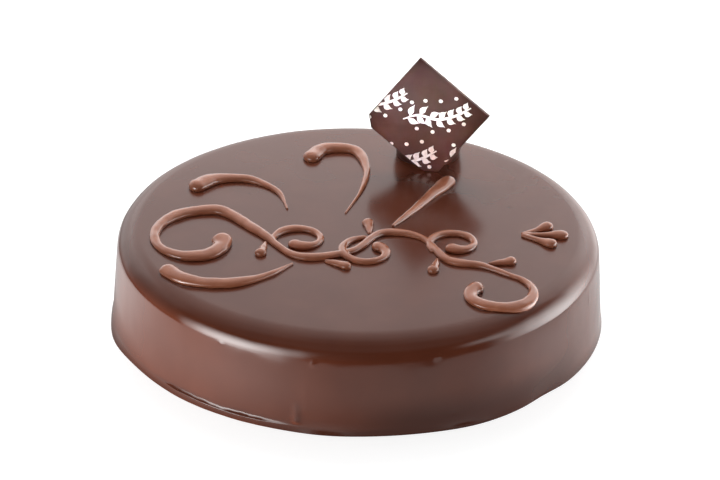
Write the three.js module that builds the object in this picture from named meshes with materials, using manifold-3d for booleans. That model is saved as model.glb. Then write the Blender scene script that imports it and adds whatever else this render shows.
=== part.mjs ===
// A whole round torte under a smooth chocolate glaze. Milk chocolate scrollwork is piped on its
// flat top, and a square chocolate plaque stands there on one corner, leaning on a truffle.
// Units are millimetres, +Z is up, and the origin is the centre of the footprint on the table.
import * as THREE from "three";
import { mergeVertices } from "three/addons/utils/BufferGeometryUtils.js";
import Module from "manifold-3d";

const wasm = await Module();
wasm.setup();

// ---- Driving dimensions ----

const CAKE = {
  height: 43.5,
  baseRadius: 109.7,
  topRadius: 106.6, // where the leaning wall would meet the plane of the top
  edgeRadius: 10.4, // round of the upper edge
  edgeSteps: 8,
  baseRows: [0, 0.6, 0.85], // rings on the underside, as shares of its radius
  sectors: 104,
};

// The glaze runs down the wall and sets as an uneven foot on the table.
const FOOT = {
  height: 5.5,
  reach: 0.4,
  full: 0.25, // it reaches out fully up to this share of its height
  rows: [0, 0.1, 0.28, 0.5, 0.75, 1, 2.6, 4.2], // rings on the wall, as shares of its height
};
const FOOT_LUMPS = [
  { at: -163, spread: 9, reach: 1.6 },
  { at: -132, spread: 14, reach: 0.6 },
  { at: -97, spread: 8, reach: 0.6 },
  { at: -62, spread: 10, reach: 1.1 },
  { at: -42, spread: 6, reach: -1.3 },
  { at: 24, spread: 10, reach: 0.9 },
  { at: 71, spread: 8, reach: 1.2 },
  { at: 128, spread: 15, reach: 0.8 },
];

const PLAQUE = {
  side: 41.4,
  thickness: 2.2,
  tip: [33.2, 54.5], // plan position of the standing corner
  sunk: 3.5, // how deep the corner stands in the glaze
  yaw: -9.5, // the face looks a little to the left
  lean: 4, // and leans back on the truffle
  roll: 7.5,
  chip: 2.9, // broken off the left corner
  chipSlope: 1.15, // a little more of it below than above
  clearance: 0.3,
};

const TRUFFLE = {
  radius: 15.7,
  centreHeight: 8, // above the glaze, so that its underside is flat
  along: -4.9, // from the plaque's corner, to the left
  sectors: 28,
  rows: 12,
};

const PIPING = {
  sides: 8,
  step: 2.9, // length of one facet along a stroke
  lengthParts: 600, // parts into which a path is cut to measure it
  spiralParts: 16,
  roundRows: [0, 0.13, 0.5], // sections on a round end, as shares of its half width
  blunt: 0.06, // how much a round end keeps of its width, squared, where it is cut off
  riseScale: 0.92, // a stroke stands riseScale * width ** risePower high
  risePower: 0.62,
  sink: 0.8, // strokes on the round edge start this deep and are then cut off by it
  sinkSpan: 2, // over this distance beyond the flat top
  edgeGrowth: 1.003, // leaves them about 0.3 mm clear of the edge
};

// ---- Finishes ----

const finish = (color, roughness) =>
  new THREE.MeshStandardMaterial({ color, roughness, metalness: 0 });
const GLAZE = finish(0x3b1e18, 0.22);
const MILK_CHOCOLATE = finish(0xa27461, 0.34);
const DARK_CHOCOLATE = finish(0x452a26, 0.4);

// ---- Helpers ----

const MERGE_DISTANCE = 1e-3;
const radians = THREE.MathUtils.degToRad;
const { smoothstep, lerp } = THREE.MathUtils;

/** Positions only, with shared vertices merged, so that the surface is closed. */
function closedGeometry(geometry) {
  const bare = geometry.clone();
  bare.deleteAttribute("normal");
  bare.deleteAttribute("uv");
  return mergeVertices(bare, MERGE_DISTANCE);
}

/** The solid inside a closed geometry. */
function solidOf(geometry) {
  const closed = closedGeometry(geometry);
  return new wasm.Manifold(
    new wasm.Mesh({
      numProp: 3,
      vertProperties: new Float32Array(closed.attributes.position.array),
      triVerts: new Uint32Array(closed.index.array),
    }),
  );
}

/** The surface of a solid, as a geometry. */
function geometryOf(solid) {
  const { vertProperties, triVerts } = solid.getMesh();
  const geometry = new THREE.BufferGeometry();
  geometry.setAttribute("position", new THREE.BufferAttribute(vertProperties, 3));
  geometry.setIndex(new THREE.BufferAttribute(triVerts, 1));
  geometry.computeVertexNormals();
  return geometry;
}

/** Several closed geometries fused into one solid. */
const fused = (geometries) =>
  geometries.map(solidOf).reduce((whole, next) => whole.add(next));

/** Moves every vertex of a geometry by a function of its place. */
function reshape(geometry, moved) {
  const { position } = geometry.attributes;
  const point = new THREE.Vector3();
  for (let i = 0; i < position.count; i++) {
    moved(point.fromBufferAttribute(position, i));
    position.setXYZ(i, point.x, point.y, point.z);
  }
  return geometry;
}

function named(name, geometry, material) {
  const mesh = new THREE.Mesh(geometry, material);
  mesh.name = name;
  return mesh;
}

// ---- The glazed cake ----

const wallLean = Math.atan2(CAKE.baseRadius - CAKE.topRadius, CAKE.height);
const edgeHeight = CAKE.height - CAKE.edgeRadius;
const wallRadius = (z) => CAKE.baseRadius - z * Math.tan(wallLean);
const flatRadius = wallRadius(edgeHeight) - CAKE.edgeRadius / Math.cos(wallLean);

/** How far the glaze foot reaches out at an angle in degrees round the cake. */
function footReach(angle) {
  return FOOT_LUMPS.reduce((sum, { at, spread, reach }) => {
    const apart = ((angle - at + 540) % 360) - 180;
    return sum + reach * Math.exp(-((apart / spread) ** 2));
  }, FOOT.reach);
}

/** Half of the section: along the base, up the wall, round the edge and in to the axis. */
function cakeProfile() {
  const base = CAKE.baseRows.map((share) => new THREE.Vector2(CAKE.baseRadius * share, 0));
  const wall = FOOT.rows.map((share) => {
    const z = share * FOOT.height;
    return new THREE.Vector2(wallRadius(z), z);
  });
  const edge = Array.from({ length: CAKE.edgeSteps + 1 }, (_, i) => {
    const turn = lerp(wallLean, Math.PI / 2, i / CAKE.edgeSteps);
    return new THREE.Vector2(
      flatRadius + CAKE.edgeRadius * Math.cos(turn),
      edgeHeight + CAKE.edgeRadius * Math.sin(turn),
    );
  });
  return [...base, ...wall, ...edge, new THREE.Vector2(0, CAKE.height)];
}

function glazedCake() {
  const turned = new THREE.LatheGeometry(cakeProfile(), CAKE.sectors).rotateX(Math.PI / 2);
  return reshape(turned, (point) => {
    const radius = Math.hypot(point.x, point.y);
    if (radius < flatRadius) return;
    const angle = THREE.MathUtils.radToDeg(Math.atan2(point.y, point.x));
    const atFoot = 1 - smoothstep(point.z, FOOT.full * FOOT.height, FOOT.height);
    const grown = 1 + (footReach(angle) * atFoot) / radius;
    point.x *= grown;
    point.y *= grown;
  });
}

const grownCake = solidOf(glazedCake().scale(PIPING.edgeGrowth, PIPING.edgeGrowth, 1));

/** How far the glaze lies below the flat top at a distance from the axis. */
function topDrop(radius) {
  const beyond = Math.min(Math.max(radius - flatRadius, 0), CAKE.edgeRadius);
  return CAKE.edgeRadius - Math.sqrt(CAKE.edgeRadius ** 2 - beyond ** 2);
}

// ---- Piping ----

const at = (x, y) => new THREE.Vector3(x, y, 0);

/** A flat spiral whose radius and angle both run evenly from start to end. */
class Spiral extends THREE.Curve {
  constructor({ centre, radii, angles, depth = 1 }) {
    super();
    Object.assign(this, { centre, radii, angles, depth });
  }

  getPoint(t, target = new THREE.Vector3()) {
    const radius = lerp(...this.radii, t);
    const angle = radians(lerp(...this.angles, t));
    const [x, y] = this.centre;
    return target.set(x + radius * Math.cos(angle), y + this.depth * radius * Math.sin(angle), 0);
  }
}

/** One smooth curve through points and spirals in turn. */
function route(...stops) {
  const points = stops.flatMap((stop) =>
    stop instanceof Spiral ? stop.getPoints(PIPING.spiralParts) : [stop],
  );
  const path = new THREE.CatmullRomCurve3(points, false, "centripetal");
  path.arcLengthDivisions = PIPING.lengthParts;
  return path;
}

/** Width at a share of a stroke's length, eased between [share, width] keys. */
function widthAt(keys, share) {
  const next = keys.findIndex(([key]) => key >= share);
  if (next <= 0) return keys.at(next)[1];
  const [from, fromWidth] = keys[next - 1];
  const [to, toWidth] = keys[next];
  return lerp(fromWidth, toWidth, smoothstep(share, from, to));
}

/** Distances along a stroke at which its sections stand, closer together on the round ends. */
function stations(length, startWidth, endWidth) {
  const [first, last] = [startWidth / 2, endWidth / 2];
  const span = length - first - last;
  const count = Math.ceil(span / PIPING.step);
  const middle = Array.from({ length: count + 1 }, (_, i) => first + (span * i) / count);
  const opening = PIPING.roundRows.map((share) => share * first);
  const closing = PIPING.roundRows.map((share) => length - share * last);
  return [...opening, ...middle, ...closing.reverse()];
}

/**
 * A piped stroke: a bead with a round back and a flat underside, bent along a flat path.
 * It starts as an upright drum whose rows become the stroke's sections.
 */
function pipedStroke(path, widths) {
  const length = path.getLength();
  const sections = stations(length, widthAt(widths, 0), widthAt(widths, 1));
  const rows = sections.length - 1;
  const drum = new THREE.CylinderGeometry(1, 1, 1, PIPING.sides, rows);
  const place = new THREE.Vector3();
  const ahead = new THREE.Vector3();
  return reshape(closedGeometry(drum), (point) => {
    const share = sections[Math.round((0.5 - point.y) * rows)] / length;
    const fullWidth = widthAt(widths, share);
    const toEnd = Math.min(share, 1 - share) * length;
    const rounding = Math.min(toEnd / (0.5 * fullWidth), 1);
    const width = fullWidth * Math.sqrt(lerp(PIPING.blunt, 1, rounding * (2 - rounding)));
    const rise = PIPING.riseScale * width ** PIPING.risePower;

    const inMiddle = Math.hypot(point.x, point.z) < 0.5; // of one of the drum's ends
    const turn = (Math.atan2(point.x, point.z) + 2 * Math.PI) % (2 * Math.PI);
    const side = Math.round((turn * PIPING.sides) / (2 * Math.PI)) % PIPING.sides;
    const round = (Math.PI * side) / (PIPING.sides - 1);
    const across = inMiddle ? 0 : (-Math.cos(round) * width) / 2;
    const up = inMiddle ? rise / 2 : Math.sin(round) * rise;

    path.getPointAt(share, place);
    path.getTangentAt(share, ahead);
    const x = place.x - ahead.y * across;
    const y = place.y + ahead.x * across;
    const radius = Math.hypot(x, y);
    const sunk = PIPING.sink * smoothstep(radius, flatRadius, flatRadius + PIPING.sinkSpan);
    point.set(x, y, CAKE.height - topDrop(radius) - sunk + up);
  });
}

/** Strokes fused together and cut off where the cake's round edge carries them. */
const piped = (...strokes) => geometryOf(fused(strokes).subtract(grownCake));

// The running stem: a volute on the left, a wave across the cake, and a curl on the right.
const STEM = {
  volute: { centre: [-69, -19], radii: [7.5, 27], angles: [20, -285], depth: 1.08 },
  wave: [[-44, -10], [-25, -33], [-3, -27], [11, -9], [27, -12], [40, -34], [54, -38]],
  curl: { centre: [58, -63], radii: [20, 7], angles: [68, -235], depth: 0.92 },
  widths: [[0, 9.4], [0.05, 7.6], [0.13, 4.4], [0.25, 6.4], [0.34, 5.4], [0.42, 3.4], [0.47, 4.8],
    [0.54, 3.6], [0.6, 4.4], [0.65, 3.2], [0.72, 4.4], [0.8, 2.6], [0.89, 5.2], [0.96, 6], [1, 7.4]],
};
const stemRoute = route(
  new Spiral(STEM.volute),
  ...STEM.wave.map(([x, y]) => at(x, y)),
  new Spiral(STEM.curl),
);

// Small spirals that leave the stem in each bay of its wave.
const TENDRILS = [
  { centre: [-25, -17], radii: [13, 4.8], angles: [205, -150] },
  { centre: [5, -27], radii: [14, 4.8], angles: [95, 440] },
  { centre: [43, -18], radii: [12.5, 4.8], angles: [215, -140] },
];
const TENDRIL_WIDTHS = [[0, 2.4], [0.3, 4.2], [0.7, 3.4], [1, 6.4]];

const stemAndTendrils = () =>
  piped(
    pipedStroke(stemRoute, STEM.widths),
    ...TENDRILS.map((shape) => pipedStroke(route(new Spiral(shape)), TENDRIL_WIDTHS)),
  );

// Strokes that lie by themselves: a heavy drop of chocolate drawn out to a fine tail.
const LEAVES = {
  piped_leaf_left: {
    path: [[-76, 30], [-66, 40], [-50, 41], [-37, 30], [-32, 13]],
    widths: [[0, 8.4], [0.12, 8.8], [0.35, 5.4], [0.7, 3], [1, 1]],
  },
  piped_leaf_hook: {
    path: [[-24, 62], [-17, 74], [-3, 74], [3, 56], [1, 34], [-6, 10]],
    widths: [[0, 8], [0.1, 8.2], [0.3, 5.8], [0.6, 3], [0.85, 1.4], [1, 0.9]],
  },
  piped_leaf_tall: {
    path: [[42, 46], [33, 30], [24, 13], [15, -2]],
    widths: [[0, 6.8], [0.12, 7.2], [0.5, 4.8], [0.85, 2.8], [1, 1.6]],
  },
  piped_leaf_low: {
    path: [[-84, -46], [-73, -57], [-55, -59], [-39, -51], [-28, -39]],
    widths: [[0, 7.4], [0.15, 8], [0.5, 5.8], [0.8, 3], [1, 1.2]],
  },
};

// Short drops set along the stem like leaves on a vine: the share of its length, and the side.
const LEAFLETS = {
  length: 12,
  clear: 1.1, // gap between it and the stem
  spread: 38,
  bend: 1.4,
  widths: [[0, 1.6], [0.5, 3.64], [0.85, 5.2], [1, 5.2]],
};
const LEAFLET_PLACES = [[0.394, -1], [0.481, -1], [0.575, 1], [0.701, -1], [0.76, 1]];

/** A drop that starts beside the stem and swells away from it. */
function leaflet([share, side]) {
  const root = stemRoute.getPointAt(share);
  const along = stemRoute.getTangentAt(share);
  const outward = at(-along.y, along.x).multiplyScalar(side);
  const start = widthAt(STEM.widths, share) / 2 + LEAFLETS.clear;
  const reach = (distance) => {
    const turn = radians(LEAFLETS.spread);
    const sag = LEAFLETS.bend * (distance / LEAFLETS.length) ** 2;
    return root
      .clone()
      .addScaledVector(outward, start + distance * Math.sin(turn) + sag)
      .addScaledVector(along, distance * Math.cos(turn));
  };
  const path = route(reach(0), reach(LEAFLETS.length / 2), reach(LEAFLETS.length));
  return piped(pipedStroke(path, LEAFLETS.widths));
}

const BUD = {
  centre: [72, -8],
  turns: [-33, 0, 34],
  lengths: [18, 21, 17],
  widths: [[0, 2.4], [0.45, 2.8], [0.85, 5.8], [1, 5.8]],
};

/** Three short drops that fan out from one point. */
function bud() {
  const [x, y] = BUD.centre;
  const drops = BUD.turns.map((turn, i) => {
    const out = (length) =>
      at(x + length * Math.cos(radians(turn)), y + length * Math.sin(radians(turn)));
    const path = route(out(0), out(BUD.lengths[i] / 2), out(BUD.lengths[i]));
    return pipedStroke(path, BUD.widths);
  });
  return piped(...drops);
}

// ---- The plaque and its truffle ----

/** Turns the plaque's own axes (across, up, out of the face) into place on the cake. */
function plaqueFrame() {
  const frame = new THREE.Group();
  frame.rotation.order = "ZXY";
  frame.rotation.set(radians(90 - PLAQUE.lean), 0, radians(PLAQUE.yaw));
  frame.position.set(...PLAQUE.tip, CAKE.height - PLAQUE.sunk);
  frame.updateMatrixWorld();
  return frame.matrixWorld;
}

/** The square on its corner, with the tip at the origin and the left corner broken off. */
function plaqueOutline(grown) {
  const half = PLAQUE.side / Math.SQRT2 + grown * Math.SQRT2;
  const roll = radians(PLAQUE.roll);
  const corner = (x, y) =>
    new THREE.Vector2(x * Math.cos(roll) - y * Math.sin(roll), x * Math.sin(roll) + y * Math.cos(roll));
  const { chip, chipSlope } = PLAQUE;
  const rise = half - grown * Math.SQRT2;
  return new THREE.Shape([
    corner(0, rise - half),
    corner(half, rise),
    corner(0, rise + half),
    corner(chip - half, rise + chip),
    corner(chipSlope * chip - half, rise - chipSlope * chip),
  ]);
}

function plaqueGeometry(grown = 0) {
  const slab = new THREE.ExtrudeGeometry(plaqueOutline(grown), {
    depth: PLAQUE.thickness + 2 * grown,
    bevelEnabled: false,
  });
  slab.translate(0, 0, -PLAQUE.thickness - grown);
  return slab.applyMatrix4(plaqueFrame());
}

/** A ball with its underside melted flat on the glaze, just behind the plaque. */
function truffle() {
  const { radius, centreHeight, rows, sectors } = TRUFFLE;
  const lowest = -Math.asin(centreHeight / radius);
  const profile = Array.from({ length: rows + 1 }, (_, i) => {
    const turn = lerp(lowest, Math.PI / 2, i / rows);
    return new THREE.Vector2(radius * Math.cos(turn), centreHeight + radius * Math.sin(turn));
  });
  profile[rows].x = 0;
  const ball = new THREE.LatheGeometry([new THREE.Vector2(0, 0), ...profile], sectors);
  ball.rotateX(Math.PI / 2);
  const face = new THREE.Vector3().setFromMatrixColumn(plaqueFrame(), 2);
  const touch = new THREE.Vector3(...PLAQUE.tip, CAKE.height - PLAQUE.sunk);
  const centreZ = CAKE.height + centreHeight;
  const across = new THREE.Vector3(Math.cos(radians(PLAQUE.yaw)), Math.sin(radians(PLAQUE.yaw)), 0);
  const behind = PLAQUE.thickness + PLAQUE.clearance + radius;
  // Slide straight back until the ball just clears the plaque's back face.
  const back = (behind + face.z * (centreZ - touch.z)) / Math.hypot(face.x, face.y);
  const backward = new THREE.Vector3(-face.x, -face.y, 0).normalize();
  const foot = touch.clone().addScaledVector(across, TRUFFLE.along).addScaledVector(backward, back);
  return ball.translate(foot.x, foot.y, CAKE.height);
}

// ---- Assembly ----

const slot = solidOf(plaqueGeometry(PLAQUE.clearance));
const cake = geometryOf(solidOf(glazedCake()).subtract(slot));
cake.computeBoundingBox();
const middle = cake.boundingBox.getCenter(new THREE.Vector3());

const group = new THREE.Group();
group.add(
  named("glazed_cake", cake, GLAZE),
  named("plaque", plaqueGeometry(), DARK_CHOCOLATE),
  named("truffle", truffle(), DARK_CHOCOLATE),
  named("piped_stem", stemAndTendrils(), MILK_CHOCOLATE),
  named("piped_bud", bud(), MILK_CHOCOLATE),
);
for (const [name, { path, widths }] of Object.entries(LEAVES)) {
  const stroke = pipedStroke(route(...path.map(([x, y]) => at(x, y))), widths);
  group.add(named(name, piped(stroke), MILK_CHOCOLATE));
}
LEAFLET_PLACES.forEach((place, i) => {
  group.add(named(`piped_leaflet_${i + 1}`, leaflet(place), MILK_CHOCOLATE));
});
group.position.set(-middle.x, -middle.y, 0);

export default group;
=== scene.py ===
"""The looks of a whole round torte: poured glaze, piped scrollwork, plaque and truffle.

Every class below holds the sizes of one sub-assembly in millimetres, builds its meshes in the
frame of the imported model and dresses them. Angles are in degrees.
"""

import logging
import math
from dataclasses import dataclass, field
from enum import Enum
from typing import Iterable, Sequence

import bmesh
import bpy
import numpy as np
from mathutils import Matrix, Vector, noise


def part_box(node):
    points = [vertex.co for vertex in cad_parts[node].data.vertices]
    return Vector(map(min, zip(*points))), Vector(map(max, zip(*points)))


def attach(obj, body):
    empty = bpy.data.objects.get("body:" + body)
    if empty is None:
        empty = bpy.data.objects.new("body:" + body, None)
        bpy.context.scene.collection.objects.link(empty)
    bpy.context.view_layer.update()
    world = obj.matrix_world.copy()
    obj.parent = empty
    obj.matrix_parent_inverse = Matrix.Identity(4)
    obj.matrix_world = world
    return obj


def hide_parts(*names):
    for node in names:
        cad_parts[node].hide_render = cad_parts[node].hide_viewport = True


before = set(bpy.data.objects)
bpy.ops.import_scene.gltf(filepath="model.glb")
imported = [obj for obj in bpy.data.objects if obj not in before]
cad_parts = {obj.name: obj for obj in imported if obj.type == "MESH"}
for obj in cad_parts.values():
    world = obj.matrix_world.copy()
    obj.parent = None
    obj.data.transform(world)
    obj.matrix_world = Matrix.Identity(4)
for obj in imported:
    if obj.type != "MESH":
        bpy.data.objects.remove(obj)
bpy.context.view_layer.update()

log = logging.getLogger("torte")

MM = 0.001
BODY = "root"

Color = tuple[float, float, float]
Spot = tuple[float, float]  # a place on a flat
Span = tuple[float, float]  # two numbers between which something runs or eases
Keys = tuple[tuple[float, float], ...]  # pairs of a place along something and a value there
Layers = Sequence[tuple[float, float, float]]  # noise: the size, seed and strength of each layer
Skin = tuple[np.ndarray, list[tuple[int, ...]]]  # points and faces


# ---- Small helpers ----


def smoothstep(low: float, high: float, value: np.ndarray | float) -> np.ndarray:
    """Eases from 0 at low to 1 at high."""
    share = np.clip((np.asarray(value, float) - low) / (high - low), 0.0, 1.0)
    return share * share * (3.0 - 2.0 * share)


def bell(distance: np.ndarray, spread: float) -> np.ndarray:
    """A bell curve, 1 at a distance of 0."""
    return np.exp(-((distance / spread) ** 2))


def angle_apart(angles: np.ndarray, centre: float) -> np.ndarray:
    """Signed difference between angles, wrapped into -180 to 180 degrees."""
    return (angles - centre + 540.0) % 360.0 - 180.0


def heading(angle: float) -> np.ndarray:
    """The flat unit direction at an angle."""
    return np.array([math.cos(math.radians(angle)), math.sin(math.radians(angle))])


def turned(flat: np.ndarray, angle: float) -> np.ndarray:
    """Flat points or directions, turned about the origin."""
    cos, sin = heading(angle)
    return flat @ np.array([(cos, sin), (-sin, cos)])


def left_of(flat: np.ndarray) -> np.ndarray:
    """Flat directions turned a quarter to the left."""
    return np.stack([-flat[..., 1], flat[..., 0]], -1)


def soft_noise(places: np.ndarray, layers: Layers) -> np.ndarray:
    """Smooth noise about 0, in layers.

    Args:
        places: points of any array shape, with x, y and z in the last axis.
        layers: for each layer the distance over which it changes, in the units of the points, a
            seed that sets it apart, and its strength.

    Returns:
        One value for each point.
    """
    flat = places.reshape(-1, 3)
    total = np.zeros(len(flat))
    for size, seed, strength in layers:
        total += [strength * noise.noise(Vector(place)) for place in flat / size + seed]
    return total.reshape(places.shape[:-1])


def eased_keys(keys: Keys, share: np.ndarray | float) -> np.ndarray:
    """Values eased between keys.

    Args:
        keys: pairs of a place and a value, in order.
        share: the places whose values are asked for.

    Returns:
        The value at each place.
    """
    value = np.full_like(np.asarray(share, float), keys[0][1])
    for (low, from_value), (high, to_value) in zip(keys, keys[1:]):
        eased = from_value + (to_value - from_value) * smoothstep(low, high, share)
        value = np.where(share > low, eased, value)
    return value


def mesh_object(name: str, points: np.ndarray, faces: Iterable[Sequence[int]]) -> bpy.types.Object:
    """A smooth-shaded mesh object at the origin.

    Args:
        name: the object's name.
        points: its corners, in millimetres.
        faces: the corners of each face, counted so that it looks outwards.

    Returns:
        The object, in the scene.
    """
    mesh = bpy.data.meshes.new(name)
    mesh.from_pydata((np.asarray(points, float) * MM).tolist(), [], [list(face) for face in faces])
    mesh.validate()
    mesh.shade_smooth()
    piece = bpy.data.objects.new(name, mesh)
    bpy.context.scene.collection.objects.link(piece)
    return piece


def ring_faces(rings: int, around: int) -> list[tuple[int, ...]]:
    """Quads between closed rings of points.

    Args:
        rings: number of rings, whose points follow one another.
        around: number of points in each ring.

    Returns:
        The faces.
    """
    faces = []
    for low in range(0, (rings - 1) * around, around):
        for i in range(around):
            j = (i + 1) % around
            faces.append((low + i, low + j, low + around + j, low + around + i))
    return faces


def closed_rings(rings: np.ndarray, start: np.ndarray, end: np.ndarray) -> Skin:
    """A closed skin over rings, with a point that closes each end.

    Args:
        rings: array of rings by points by 3, turning so that the faces look outwards.
        start: the point that closes the first ring.
        end: the point that closes the last ring.

    Returns:
        The skin's points and faces.
    """
    count, around, _ = rings.shape
    points = np.concatenate([rings.reshape(-1, 3), [start], [end]])
    faces = ring_faces(count, around)
    last = (count - 1) * around
    for i in range(around):
        j = (i + 1) % around
        faces.append((j, i, count * around))
        faces.append((last + i, last + j, count * around + 1))
    return points, faces


def joined(skins: Iterable[Skin]) -> Skin:
    """Several skins as one.

    Args:
        skins: the points and faces of each.

    Returns:
        All their points and faces.
    """
    points: list[np.ndarray] = []
    faces: list[tuple[int, ...]] = []
    for skin, skin_faces in skins:
        first = sum(len(part) for part in points)
        faces += [tuple(corner + first for corner in face) for face in skin_faces]
        points.append(skin)
    return np.concatenate(points), faces


# ---- Shader maths ----


@dataclass(frozen=True)
class Socket:
    """A node's output. Python's operators on it add Math nodes."""

    shader: "Shader"
    output: bpy.types.NodeSocket | None

    def math(self, operation: str, *values: "Socket | float") -> "Socket":
        """A Math node of these values."""
        return self.shader.node("ShaderNodeMath", {"operation": operation}, dict(enumerate(values)))

    def __add__(self, other: "Socket | float") -> "Socket":
        """Sum."""
        return self.math("ADD", self, other)

    def __radd__(self, other: float) -> "Socket":
        """Sum, with a number first."""
        return self.math("ADD", other, self)

    def __sub__(self, other: "Socket | float") -> "Socket":
        """Difference."""
        return self.math("SUBTRACT", self, other)

    def __rsub__(self, other: float) -> "Socket":
        """Difference, with a number first."""
        return self.math("SUBTRACT", other, self)

    def __mul__(self, other: "Socket | float") -> "Socket":
        """Product."""
        return self.math("MULTIPLY", self, other)

    def __rmul__(self, other: float) -> "Socket":
        """Product, with a number first."""
        return self.math("MULTIPLY", other, self)

    def eased(self, low: float, high: float, out: Span = (0.0, 1.0)) -> "Socket":
        """Eases between two numbers while the value goes from low to high."""
        inputs = {"Value": self, "From Min": low, "From Max": high, "To Min": out[0], "To Max": out[1]}
        return self.shader.node("ShaderNodeMapRange", {"interpolation_type": "SMOOTHSTEP"}, inputs)


def rgba(color: Color) -> tuple[float, float, float, float]:
    """The colour with full opacity."""
    return (*color, 1.0)


class Shader:
    """A node tree, with one method that adds any node to it."""

    def __init__(self, owner: bpy.types.Material | bpy.types.World) -> None:
        """Empties the owner's node tree.

        Args:
            owner: the material or world that it belongs to.
        """
        owner.use_nodes = True
        self.owner = owner
        self.tree = owner.node_tree
        self.tree.nodes.clear()

    def node(
        self,
        kind: str,
        settings: dict | None = None,
        inputs: dict | None = None,
        output: str | int = 0,
    ) -> Socket:
        """Adds a node.

        Args:
            kind: the node's type, such as ShaderNodeTexNoise.
            settings: its properties, which are set before its sockets.
            inputs: values or Sockets, by a socket's identifier, name or place.
            output: the name, identifier or place of the output that is returned.

        Returns:
            The chosen output, which is empty for a node that has none.
        """
        made = self.tree.nodes.new(kind)
        for key, value in (settings or {}).items():
            setattr(made, key, value)
        for key, value in (inputs or {}).items():
            socket = self._find(made.inputs, key)
            if isinstance(value, Socket):
                self.tree.links.new(value.output, socket)
            else:
                socket.default_value = value
        return Socket(self, self._find(made.outputs, output) if made.outputs else None)

    @staticmethod
    def _find(sockets: bpy.types.bpy_prop_collection, key: str | int) -> bpy.types.NodeSocket:
        """Looks a socket up.

        Args:
            sockets: a node's inputs or outputs.
            key: the socket's identifier, name or place.

        Returns:
            The socket.
        """
        if isinstance(key, int):
            return sockets[key]
        by_identifier = [socket for socket in sockets if socket.identifier == key]
        return by_identifier[0] if by_identifier else sockets[key]

    def place(self) -> Socket:
        """The place on the object, in metres."""
        return self.node("ShaderNodeTexCoord", output="Object")

    def vector(self, operation: str, *values: Socket | Sequence[float], output: str = "Value") -> Socket:
        """A Vector Math node of these values, and its output called Value or Vector."""
        return self.node("ShaderNodeVectorMath", {"operation": operation}, dict(enumerate(values)), output)

    def part(self, vector: Socket, axis: str) -> Socket:
        """A vector's X, Y or Z."""
        return self.node("ShaderNodeSeparateXYZ", None, {0: vector}, axis)

    def noise(self, size: float, detail: float) -> Socket:
        """Noise from 0 to 1 that changes over a size in millimetres."""
        inputs = {"Vector": self.place(), "Scale": 1.0 / (size * MM), "Detail": detail}
        return self.node("ShaderNodeTexNoise", None, inputs)

    def mix(self, share: Socket | float, first: Socket | Color, second: Socket | Color) -> Socket:
        """A colour between two colours.

        Args:
            share: 0 for the first colour and 1 for the second.
            first: the first colour.
            second: the second colour.

        Returns:
            The mixed colour.
        """
        values = [color if isinstance(color, Socket) else rgba(color) for color in (first, second)]
        inputs = {"Factor_Float": share, "A_Color": values[0], "B_Color": values[1]}
        return self.node("ShaderNodeMix", {"data_type": "RGBA"}, inputs, "Result_Color")

    def bump(self, height: Socket, depth: float) -> Socket:
        """A normal bumped by a height from 0 to 1, which stands for a depth in millimetres."""
        inputs = {"Height": height, "Strength": 1.0, "Distance": depth * MM}
        return self.node("ShaderNodeBump", None, inputs)

    def surface(self, shader: Socket) -> None:
        """Makes a shader the material's or the world's surface."""
        kind = "World" if isinstance(self.owner, bpy.types.World) else "Material"
        self.node(f"ShaderNodeOutput{kind}", None, {"Surface": shader})

    def finished(self, inputs: dict) -> bpy.types.Material:
        """The material, with a Principled shader of these inputs as its surface."""
        self.surface(self.node("ShaderNodeBsdfPrincipled", None, inputs))
        return self.owner

    def glowing(self, base: Socket, strength: Socket | float) -> bpy.types.Material:
        """The material, with light of this strength added to a base.

        Args:
            base: the shader that the light is added to.
            strength: how strong the light is.

        Returns:
            The material.
        """
        light = self.node("ShaderNodeEmission", None, {"Strength": strength})
        self.surface(self.node("ShaderNodeAddShader", None, {0: base, 1: light}))
        return self.owner


# ---- Finishes ----


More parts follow.
